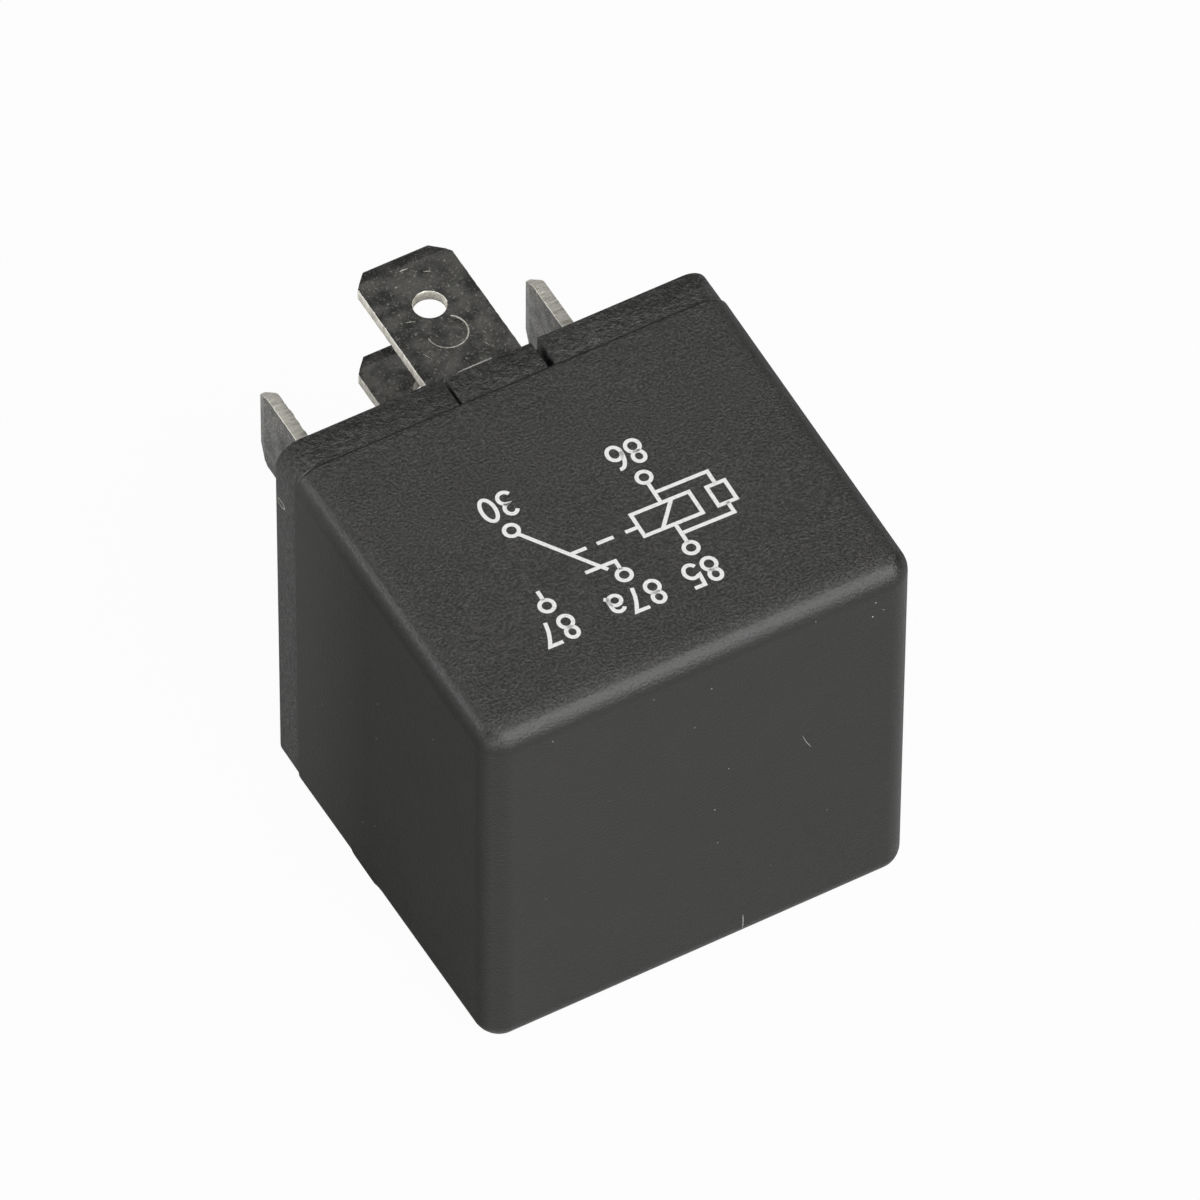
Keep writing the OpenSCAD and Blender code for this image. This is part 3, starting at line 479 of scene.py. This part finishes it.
def make_cover():
    """Shell with drafted walls, a soft round closed end and a rounded lip."""
    bm = bmesh.new()
    outer = cover_rings(0, END_SINK, END_R, SIDE_R, outer_shift)
    inner_side_r = SIDE_R - WALL
    inner_end_r = max(END_R - END_WALL, 0.4)
    inner = cover_rings(WALL, END_WALL, inner_end_r, inner_side_r, None)
    lip = [mouth_ring(MOUTH_Y - back, inset) for back, inset in LIP]
    loft(bm, inner[::-1] + lip + outer[1:])
    cover = finish_mesh("cover_shell", bm, [MATERIALS["cover_plastic"]], smooth_angle=50)
    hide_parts("cover")


make_cover()

# ---------------------------------------------------------------- pieces made from their CAD nodes


def rounded_copy(node, edge_r):
    """Mesh of a CAD node in millimetres, with its triangles joined into flat faces and its
    sharp edges rounded."""
    bm = bmesh.new()
    bm.from_mesh(frame["nodes"][node].data)
    bmesh.ops.transform(bm, matrix=Matrix.Scale(1 / MM, 4), verts=bm.verts)
    bmesh.ops.remove_doubles(bm, verts=bm.verts, dist=0.001)
    bmesh.ops.dissolve_limit(bm, angle_limit=math.radians(0.5), verts=bm.verts, edges=bm.edges)
    sharp = [
        e for e in bm.edges
        if len(e.link_faces) == 2 and e.calc_face_angle(0) > math.radians(30)
    ]
    bmesh.ops.bevel(bm, geom=sharp, offset=edge_r, segments=2, profile=0.5,
                    affect="EDGES", clamp_overlap=True)
    return bm


def dressed(node):
    """Copy of a CAD node with its sharp edges rounded, which stands for the node."""
    slot = SLOTS[node]
    bm = rounded_copy(node, 0.06)
    piece = finish_mesh(node + "_finish", bm, [MATERIALS[slot]], BODIES[node])
    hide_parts(node)


X_AXIS, Z_AXIS = 0, 2
# round wires, which keep their CAD meshes
WIRES = ("return_spring", "copper_braid", "resistor_leads", "coil_lead_85", "coil_lead_86")


def slice_blade(bm):
    """Cuts the blade across at even steps, so that its edges can be made uneven."""
    step, margin = 0.25, 0.1
    y = UNDERSIDE_Y - margin
    while y < TIP_Y - margin:
        bmesh.ops.bisect_plane(bm, geom=bm.verts[:] + bm.edges[:] + bm.faces[:], dist=0.0005,
                               plane_co=(0, y, 0), plane_no=(0, 1, 0))
        y += step


def roughen_blade(bm, middle, thick, burr):
    """Moves the points of a blade's sheared sides a little in or out. thick is the axis of the
    sheet's thickness, and burr the height of the torn rim on the far side of the sheet."""
    wide = 2 - thick
    near_edge = 2.9                 # distance from the blade's middle at which its sides begin
    trim, wobble = 0.02, 0.025      # even and uneven part of what the sides are set in
    for vert in bm.verts:
        if vert.co.y < UNDERSIDE_Y:
            continue
        side = vert.co[wide] - middle[wide]
        if abs(side) < near_edge:
            continue
        level = (vert.co[thick] - middle[thick]) / BLADE_T + 0.5
        wave = noise.noise(Vector((vert.co.y * 3.1, level, side)))
        tear = noise.noise(Vector((vert.co.y * 1.7, 5.0, side * 0.2))) + 0.35
        vert.co[wide] -= math.copysign(trim + wobble * wave, side)
        if level > 0.8 and side > 0:
            vert.co[thick] += burr * max(tear, 0.0)
            vert.co[wide] -= 0.4 * burr * max(-wave, 0.0)


def dress_terminal(node, thick, burr=0.0):
    """Terminal with the bright sides, round rims and uneven edges of a stamping."""
    low, high = box_mm(node)
    middle = (low + high) / 2
    if thick == Z_AXIS:
        middle = Vector((0, 0, BLADE_MIDDLE_Z[node]))
    bm = rounded_copy(node, 0.07)
    slice_blade(bm)
    sheared = []
    for face in bm.faces:
        centre = face.calc_center_median()
        if abs(face.normal[thick]) < 0.5 and centre.y > UNDERSIDE_Y - 1:
            sheared.append(face)
    for face in sheared:
        face.material_index = 1
    roughen_blade(bm, middle, thick, burr)
    piece = finish_mesh(node + "_finish", bm, [MATERIALS["tinned_brass"], SHEARED_EDGE],
                        BODIES[node], 50)
    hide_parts(node)


def keep_node(node):
    """Keeps a CAD node and gives it its material."""
    obj = frame["nodes"][node]
    obj.data.materials.clear()
    obj.data.materials.append(MATERIALS[SLOTS[node]])
    shade(obj.data, 50)


dress_terminal("terminal_87", Z_AXIS)
dress_terminal("terminal_87a", Z_AXIS)
dress_terminal("terminal_30", X_AXIS)
dress_terminal("terminal_85", X_AXIS, burr=0.09)
dress_terminal("terminal_86", X_AXIS)
for wire in WIRES:
    keep_node(wire)
for node in sorted(frame["nodes"]):
    if node not in WIRES and node != "cover" and not node.startswith("terminal"):
        dressed(node)

# ---------------------------------------------------------------- printed diagram

STROKE = 0.24                       # width of the printed lines
INK = 0.012                         # half the thickness of the ink
PRINT_TURN = math.radians(-1.6)     # the print sits a little askew on the cover
PRINT_CENTRE = Vector((0, 8))
PRINT_LINE = 18.1                   # the print is laid out from this far behind the closed end
DIGIT_W, DIGIT_H, DIGIT_STEP = 0.83, 1.66, 1.2


def arc(cx, cy, rx, ry, start, end, steps=14):
    """Points along part of an ellipse, angles in degrees."""
    return [
        (cx + rx * math.cos(math.radians(start + (end - start) * k / steps)),
         cy + ry * math.sin(math.radians(start + (end - start) * k / steps)))
        for k in range(steps + 1)
    ]


def glyph(character):
    """Centre lines of a figure: a list of (points, closed), from its lower left corner."""
    w, h = DIGIT_W, DIGIT_H
    mid = w / 2
    if character == "0":
        return [(arc(mid, h / 2, mid, h / 2, 0, 345, 23), True)]
    if character == "3":
        bowls = arc(mid - 0.02, 1.25, 0.36, 0.41, 155, -90)
        bowls += arc(mid - 0.02, 0.43, 0.41, 0.43, 78, -155)
        return [(bowls, False)]
    if character == "5":
        return [([(w - 0.08, h), (0.1, h), (0.04, 0.88)]
                 + arc(mid - 0.02, 0.5, 0.42, 0.5, 122, -150, 16), False)]
    if character == "6":
        return [(arc(mid, 0.49, mid, 0.49, 0, 345, 23), True),
                (arc(mid + 0.12, 0.5, mid + 0.12, h - 0.5, 180, 80, 12), False)]
    if character == "7":
        return [([(0, h), (w, h), (0.6, 1.18), (0.42, 0.66), (0.3, 0)], False)]
    if character == "8":
        return [(arc(mid, 0.44, mid, 0.44, 90, 435, 23), True),
                (arc(mid, 1.27, 0.35, 0.39, -90, 255, 23), True)]
    if character == "a":
        stem = arc(mid - 0.02, 0.84, 0.36, 0.36, 155, 0, 8)
        stem += [(mid + 0.34, 0.12), (mid + 0.5, 0.02)]
        return [(stem, False), (arc(mid - 0.04, 0.36, 0.37, 0.36, 0, 345, 23), True)]


def ribbon_sides(points, closed, width):
    """Left and right edge of a flat stroke along the points, mitred at the corners."""
    points = [Vector(p) for p in points]
    last = len(points) - 1
    sides = []
    for i, point in enumerate(points):
        before = points[i - 1] if i > 0 or closed else None
        after = points[(i + 1) % (last + 1)] if i < last or closed else None
        into = (point - before).normalized() if before is not None else None
        out = (after - point).normalized() if after is not None else None
        into, out = into or out, out or into
        normal = Vector((-(into.y + out.y), into.x + out.x)).normalized()
        reach = width / 2 / max(normal.dot(Vector((-into.y, into.x))), 0.4)
        sides.append((point + normal * reach, point - normal * reach))
    return sides


def to_front(point, lift):
    """Puts a point of the print, in its own right and up axes, onto the cover's front."""
    turned = PRINT_CENTRE + Matrix.Rotation(PRINT_TURN, 2) @ (Vector(point) - PRINT_CENTRE)
    x, y = -turned.x, END_Y + PRINT_LINE - turned.y
    return Vector((x, y, front_z(x, y) + lift))


def stroke(bm, points, closed=False, width=STROKE):
    """Thin closed ribbon of ink along the points."""
    sides = ribbon_sides(points, closed, width)
    rows = [
        [bm.verts.new(to_front(side, lift)) for side, lift in
         ((left, -INK), (left, INK), (right, INK), (right, -INK))]
        for left, right in sides
    ]
    skin(bm, rows, closed)


def write(bm, text, centre):
    """Row of figures about a centre."""
    width = DIGIT_STEP * (len(text) - 1)
    for i, character in enumerate(text):
        left = centre[0] - width / 2 + i * DIGIT_STEP - DIGIT_W / 2
        low = centre[1] - DIGIT_H / 2
        for points, closed in glyph(character):
            stroke(bm, [(left + x, low + y) for x, y in points], closed)


def make_print():
    """Circuit diagram of a changeover relay with the standard terminal numbers."""
    bm = bmesh.new()
    circle_r = 0.425
    row_low, row_high = 5.16, 10.92         # the two rows of terminal circles
    text_low, text_high = 3.22, 12.8
    coil_u, common_u, open_u, closed_u = -3.2, 5.3, 6.02, 1.08
    fixed_v, dash_v = 9.8, 8.22
    for u, v in ((common_u, row_low), (coil_u, row_low), (open_u, row_high),
                 (closed_u, row_high), (coil_u, row_high)):
        stroke(bm, arc(u, v, circle_r, circle_r, 0, 345, 23), True)
    # switch arm, fixed contacts and the dashed line that joins the arm to the coil
    stroke(bm, [(common_u - 0.22, row_low + 0.4), (1.72, 10.17)])
    stroke(bm, [(closed_u + 1.9, fixed_v), (closed_u, fixed_v), (closed_u, row_high - circle_r)])
    stroke(bm, [(open_u, 9.75), (open_u, row_high - circle_r)])
    for start, end in ((3.05, 2.1), (1.42, 0.36), (-0.4, -1.15)):
        stroke(bm, [(start, dash_v), (end, dash_v)])
    # coil with its diagonal, and its terminals
    low_v, high_v, left_u, right_u = 7.25, 8.97, -4.98, -1.25
    stroke(bm, [(right_u, low_v), (left_u, low_v), (left_u, high_v), (right_u, high_v)], True)
    stroke(bm, [(-3.85, low_v), (-2.42, high_v)])
    stroke(bm, [(coil_u, row_low + circle_r), (coil_u, low_v)])
    stroke(bm, [(coil_u, high_v), (coil_u, row_high - circle_r)])
    # resistor across the coil, with its two branches
    res_u, res_half, res_low, res_high = -6.6, 0.58, 7.43, 8.93
    stroke(bm, [(res_u + res_half, res_low), (res_u - res_half, res_low),
                (res_u - res_half, res_high), (res_u + res_half, res_high)], True)
    for branch_v, end_v in ((6.42, res_low), (9.74, res_high)):
        stroke(bm, [(coil_u, branch_v), (res_u, branch_v), (res_u, end_v)])
    for text, u, v in (("30", 5.2, text_low + 0.08), ("86", -3.07, text_low),
                       ("87", 6.2, text_high), ("87a", 1.27, text_high), ("85", -2.96, text_high)):
        write(bm, text, (u, v))
    diagram = finish_mesh("printed_diagram", bm, [PRINT_INK])


make_print()

# ---------------------------------------------------------------- marks, dust and flash


def flat_ribbon(bm, points, widths, to_surface, height):
    """Raised ribbon of varying width along points that to_surface(point, lift) puts in place."""
    rows = []
    for (left, right), width in zip(ribbon_sides(points, False, 1.0), widths):
        middle = (left + right) / 2
        half = (left - right) / 2 * width
        rows.append([
            bm.verts.new(to_surface(spot, lift)) for spot, lift in
            ((middle + half, -height), (middle + half, height * 0.5), (middle, height),
             (middle - half, height * 0.5), (middle - half, -height))
        ])
    skin(bm, rows)


def on_blade(point, lift):
    """Point on the front face of terminal 87, measured from its detent hole."""
    return Vector((point[0], HOLE_Y + point[1], BLADE_FRONT_Z + lift))


def make_blade_marks():
    """Crescent left by a round tool, and a few nicks, on the front face of terminal 87."""
    bm = bmesh.new()
    steps = 30
    crescent = arc(-0.08, -2.28, 1.22, 1.22, 52, -185, steps)
    widths = [0.035 + 0.075 * (1 - k / steps) ** 0.7 for k in range(steps + 1)]
    flat_ribbon(bm, crescent, widths, on_blade, 0.008)
    for start, end, width in (
            ((-0.32, 3.0), (0.15, 2.97), 0.09), ((0.88, 2.33), (1.28, 2.14), 0.07),
            ((-1.16, 2.05), (-1.06, 2.01), 0.1), ((-1.88, -0.54), (-1.35, -0.73), 0.06),
            ((1.35, -3.9), (1.55, -4.3), 0.04), ((-2.1, -3.1), (-1.95, -3.5), 0.05)):
        middle = [(start[0] + end[0]) / 2, (start[1] + end[1]) / 2 + 0.01]
        flat_ribbon(bm, [start, middle, end], [0.3 * width, width, 0.3 * width], on_blade, 0.006)
    marks = finish_mesh("blade_marks", bm, [SHEARED_EDGE])


def fleck(bm, centre, across, up, size):
    """Small uneven speck that lies on a surface spanned by across and up."""
    outward = across.cross(up)
    rise = outward * (0.25 * size)
    count = 9
    rim = []
    for k in range(count):
        a = 2 * math.pi * k / count
        r = size * (0.75 + 0.5 * noise.noise(centre * 7 + Vector((k * 1.3, 0, 0))))
        rim.append(bm.verts.new(centre + across * (r * math.cos(a)) + up * (r * math.sin(a))))
    top = bm.verts.new(centre + rise)
    under = bm.verts.new(centre - rise)
    for k in range(count):
        m = (k + 1) % count
        bm.faces.new((rim[k], rim[m], top))
        bm.faces.new((rim[m], rim[k], under))


def make_dust():
    """Specks of dust on the closed end and the left side, a fine hair and a short smear."""
    bm = bmesh.new()
    x_dir, y_dir, z_dir = Vector((1, 0, 0)), Vector((0, 1, 0)), Vector((0, 0, 1))
    end_face = END_Y + END_SINK
    for x, z, size in (
            (11.19, 26.47, 0.07), (11.73, 25.51, 0.06), (11.01, 25.31, 0.07), (7.26, 27.12, 0.05),
            (0.51, 25.13, 0.06), (-3.26, 26.43, 0.05), (-0.56, 22.23, 0.05), (1.72, 17.07, 0.06),
            (0.84, 13.82, 0.06), (1.07, 10.6, 0.06), (-9.79, 26.61, 0.06), (8.3, 9.2, 0.04),
            (-6.1, 18.9, 0.04), (4.6, 6.3, 0.04), (-10.2, 12.4, 0.04)):
        fleck(bm, Vector((x, end_face, z)), x_dir, z_dir, size)
    for y, z, size in ((-5.31, 18.47, 0.06), (-5.14, 15.06, 0.06), (-11.85, 22.4, 0.06),
                       (-3.45, 5.45, 0.05), (-4.91, 6.72, 0.05), (1.2, 11.3, 0.05)):
        x = -(HALF_W - lean_at(y) - sink_at(z - MID_Z, y, HALF_D - SIDE_R))
        fleck(bm, Vector((x, y, z)), -y_dir, z_dir, size)

    def on_end(point, lift):
        """Point (x, z) on the closed end."""
        return Vector((point[0], end_face - lift, point[1]))

    hair = [(6.57, 17.13), (6.7, 16.7), (6.84, 16.35), (7.0, 16.05), (7.12, 15.78)]
    flat_ribbon(bm, hair, [0.02, 0.035, 0.04, 0.035, 0.02], on_end, 0.015)
    smear = [(2.82, 2.76), (2.84, 2.3), (2.83, 1.9), (2.83, 1.52)]
    flat_ribbon(bm, smear, [0.03, 0.06, 0.05, 0.02], on_end, 0.008)
    dust = finish_mesh("dust_flecks", bm, [DUST_AND_GLINT])


def make_scuff_and_glint():
    """Pale oval mark on the left side of the flange, and a painted glint: a pale stretch on the
    edge of the tongue beside terminal 87."""
    bm = bmesh.new()
    inside = 0.03   # the painted glint follows the edge where it is already round

    def on_flange(point, lift):
        """Point (y, z) on the left side of the flange."""
        return Vector((BASE_LOW.x - lift, point[0], point[1]))

    def on_edge(point, lift):
        """Point (x, height) on the edge between the underside and the printed side."""
        return Vector((point[0], UNDERSIDE_Y - inside + lift, BASE_HIGH.z - inside + point[1]))

    # painted glint: a pale ribbon where the edge catches the light
    painted_glint = [(-2.25, 0), (-1.7, 0.008), (-1.1, 0), (-0.5, 0.01), (-0.05, 0)]
    flat_ribbon(bm, painted_glint, [0.02, 0.07, 0.09, 0.08, 0.03], on_edge, 0.02)
    steps = 18
    oval = arc(6.0, 24.45, 0.42, 0.25, 20, 340, steps)
    widths = [0.06 + 0.05 * math.sin(math.pi * k / steps) for k in range(steps + 1)]
    flat_ribbon(bm, oval, widths, on_flange, 0.006)
    scuffs = finish_mesh("flange_scuff_and_glint", bm, [DUST_AND_GLINT])


def make_flash():
    """Thin uneven skin of plastic that stands up round the mouth of the cover. Its pale grey is a
    painted glint along the seam.
    """
    bm = bmesh.new()
    spacing = 0.12                  # of the points round the mouth
    plain_rise, ragged_rise, root = 0.02, 0.09, 0.05
    dense_inner, dense_outer = [], []
    for inset, dense in ((0.15, dense_inner), (0.1, dense_outer)):
        ring = mouth_ring(MOUTH_Y, inset, steps=12)
        for a, b in zip(ring, ring[1:] + ring[:1]):
            pieces = max(int((b - a).length / spacing), 1)
            dense.extend(a.lerp(b, k / pieces) for k in range(pieces))
    count = min(len(dense_inner), len(dense_outer))
    rows = []
    for k in range(count):
        a, b = dense_inner[k], dense_outer[k]
        ragged = noise.noise(b * 1.9) + 0.6 * noise.noise(b * 6.3)
        rise = Vector((0, plain_rise + ragged_rise * max(ragged, 0.0), 0))
        sink = Vector((0, -root, 0))
        rows.append([bm.verts.new(v) for v in (a + sink, a + rise, b + rise, b + sink)])
    skin(bm, rows, closed=True)
    flash = finish_mesh("mouth_flash", bm, [FLASH_GLINT_PLASTIC])


make_blade_marks()
make_dust()
make_scuff_and_glint()
make_flash()

# ---------------------------------------------------------------- stage, light and camera


def background_rays(tree, camera_share, mirror_share):
    """Share of plain white that the camera sees, and the share that mirrors and glass see. The
    object stands in dark surroundings in the photo, so the second is small."""
    path = tree.nodes.new("ShaderNodeLightPath").outputs
    mirrored = maths(tree, "MAXIMUM", path["Is Glossy Ray"], path["Is Transmission Ray"])
    seen = maths(tree, "MULTIPLY", path["Is Camera Ray"], camera_share)
    return maths(tree, "ADD", seen, maths(tree, "MULTIPLY", mirrored, mirror_share))


def make_floor():
    """Grey table that the camera sees as nearly white, with a faint shadow on it."""
    half_width = 1500
    drop = 0.02     # keeps the table just clear of the relay
    bm = bmesh.new()
    bmesh.ops.create_grid(bm, x_segments=4, y_segments=4, size=half_width)
    mesh = bpy.data.meshes.new("floor")
    bm.to_mesh(mesh)
    bm.free()
    mesh.transform(Matrix.Scale(MM, 4))
    floor = bpy.data.objects.new("floor", mesh)
    floor.location.z = -drop * MM
    bpy.context.scene.collection.objects.link(floor)
    material = bpy.data.materials.new("floor_white")
    material.use_nodes = True
    tree = material.node_tree
    shader = tree.nodes["Principled BSDF"]
    shader.inputs["Base Color"].default_value = (0.5, 0.5, 0.5, 1)
    shader.inputs["Roughness"].default_value = 0.9
    white = add(tree, "ShaderNodeEmission", {"Color": (1, 1, 1, 1), "Strength": 1.0})
    mixed = add(tree, "ShaderNodeMixShader", {
        0: background_rays(tree, 0.96, 0.06), 1: shader.outputs[0], 2: white})
    tree.links.new(mixed, tree.nodes["Material Output"].inputs["Surface"])
    mesh.materials.append(material)


def make_world():
    """White to the camera, and a dim grey room for everything else."""
    world = bpy.data.worlds.new("studio")
    bpy.context.scene.world = world
    world.use_nodes = True
    tree = world.node_tree
    soft = tree.nodes["Background"]
    soft.inputs["Color"].default_value = (0.1, 0.1, 0.1, 1)
    white = add(tree, "ShaderNodeBackground", {"Color": (1, 1, 1, 1), "Strength": 1.0})
    mixed = add(tree, "ShaderNodeMixShader", {
        0: background_rays(tree, 1.0, 0.0), 1: soft.outputs[0], 2: white})
    tree.links.new(mixed, tree.nodes["World Output"].inputs["Surface"])


def towards(azimuth, elevation):
    """Direction from the object, with azimuth 0 in front of the closed end (-Y) and 90 at +X."""
    a, e = math.radians(azimuth), math.radians(elevation)
    return Vector((math.sin(a) * math.cos(e), -math.cos(a) * math.cos(e), math.sin(e)))


LAMP_DISTANCE = 0.9     # metres


def softbox(name, azimuth, elevation, size, radiance):
    """Square lamp aimed at the object."""
    lamp = bpy.data.lights.new(name, "AREA")
    lamp.size = size
    lamp.energy = radiance * math.pi * size * size
    obj = bpy.data.objects.new(name, lamp)
    away = towards(azimuth, elevation)
    obj.location = BODY_CENTRE * MM + away * LAMP_DISTANCE
    obj.rotation_euler = away.to_track_quat("Z", "Y").to_euler()
    bpy.context.scene.collection.objects.link(obj)


def make_lights():
    """Large softbox in front, two low ones on the left, and a weak one behind for the blades."""
    softbox("softbox_key", 18, 36, 0.95, 4.7)
    softbox("softbox_left", -50, 21, 0.55, 4.4)
    softbox("softbox_rear_left", -125, 19, 0.55, 4.0)
    softbox("softbox_rear", 150, 50, 0.8, 0.2)


def make_camera():
    """Long lens, above the closed end and a little to the left of it."""
    azimuth, elevation, roll = -29.459, 51.425, math.radians(0.382)
    distance = 0.9522               # metres
    sensor, focal = 36, 496.5       # millimetres
    aim_right, aim_up = 0.2, 3.5    # the picture's middle, from the middle of the body
    back = towards(azimuth, elevation)
    level = Vector((math.cos(math.radians(azimuth)), math.sin(math.radians(azimuth)), 0))
    right = level * math.cos(roll) + back.cross(level) * math.sin(roll)
    up = back.cross(right)
    centre = BODY_CENTRE * MM
    position = centre + back * distance
    aim = centre + (aim_right * right + aim_up * up) * MM
    z_axis = (position - aim).normalized()
    x_axis = (right - z_axis * right.dot(z_axis)).normalized()
    y_axis = z_axis.cross(x_axis)
    data = bpy.data.cameras.new("camera")
    data.sensor_width = sensor
    data.lens = focal
    data.clip_start = 0.05
    data.clip_end = 20
    camera = bpy.data.objects.new("camera", data)
    camera.matrix_world = Matrix.Translation(position) @ Matrix(
        (x_axis, y_axis, z_axis)).transposed().to_4x4()
    bpy.context.scene.collection.objects.link(camera)
    bpy.context.scene.camera = camera


make_floor()
make_world()
make_lights()
make_camera()
bpy.context.scene.view_settings.view_transform = "Standard"
